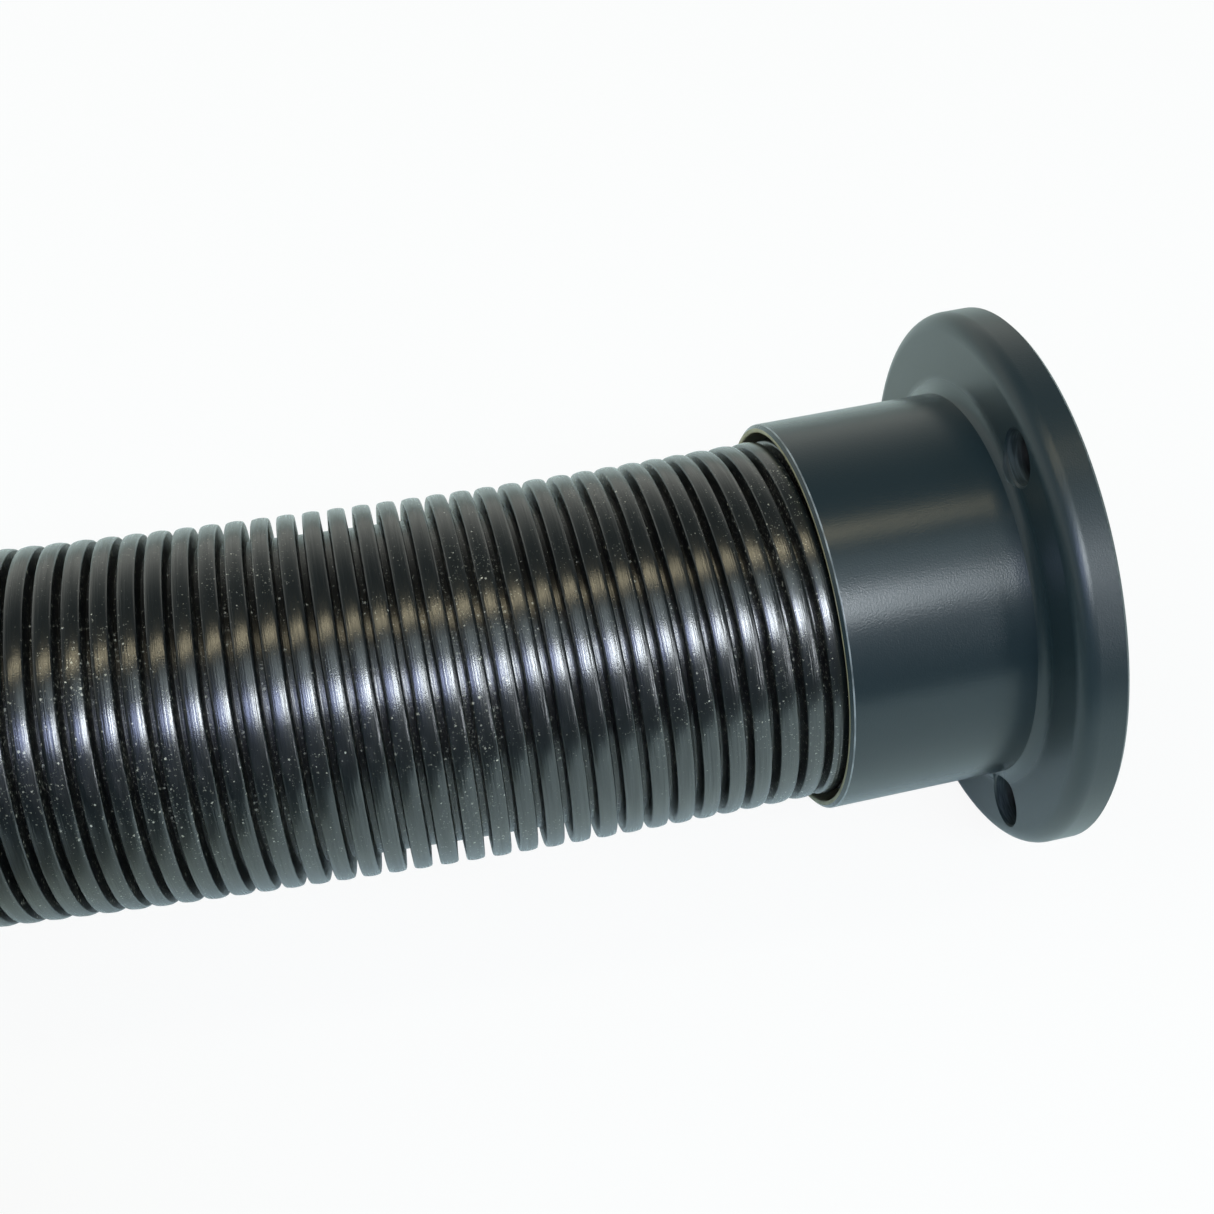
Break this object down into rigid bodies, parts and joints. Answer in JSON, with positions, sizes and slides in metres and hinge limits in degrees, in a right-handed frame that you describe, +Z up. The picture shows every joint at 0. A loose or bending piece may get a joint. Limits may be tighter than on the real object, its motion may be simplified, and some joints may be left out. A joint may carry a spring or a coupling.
{
  "type": "vacuum hose",
  "caption": "Black spiral-ribbed pool vacuum hose, its near end in the collar of a round bolt-on flange fitting, its far length coiled and strapped, with a swivel cuff on the far end.",
  "frame": {"origin": "on the floor, under the middle of the flange fitting, which stands on its rim", "axes": "+X along the fitting's axis, out of its flat back; +Z up; the hose leaves towards -X"},
  "size_m": [0.8361, 0.7334, 0.1221],
  "materials": {
    "flange_grey": "fine grained moulding, satin",
    "seal_rubber": "matt",
    "hose_black": "satin, fine lines round the ribs",
    "hose_black_free": "satin, fine lines round the ribs",
    "hose_black_coiled": "satin, fine lines round the ribs",
    "hose_black_tail": "satin, fine lines round the ribs",
    "insert_grey": "smooth moulding",
    "washer_rubber": "matt",
    "cuff_grey": "fine grained moulding, satin",
    "nut_grey": "fine grained moulding, satin",
    "strap_webbing": "woven"
  },
  "bodies": {
    "hose": {"flange_fitting": "flange_grey", "socket_seal": "seal_rubber", "hose_socket_end": "hose_black", "hose_lead": "hose_black_free", "hose_coil": "hose_black_coiled", "hose_tail": "hose_black_tail", "cuff_insert": "insert_grey", "cuff_seal": "washer_rubber", "coil_strap_1": "strap_webbing", "coil_strap_2": "strap_webbing", "coil_strap_3": "strap_webbing"},
    "cuff": {"cuff_shell": "cuff_grey", "cuff_retaining_nut": "nut_grey"}
  },
  "joints": [
    {"name": "cuff_swivel", "type": "hinge", "parent": "hose", "child": "cuff", "pos_m": [-0.46, -0.104, 0.04], "axis": [-1, 0, 0], "continuous": true}
  ]
}
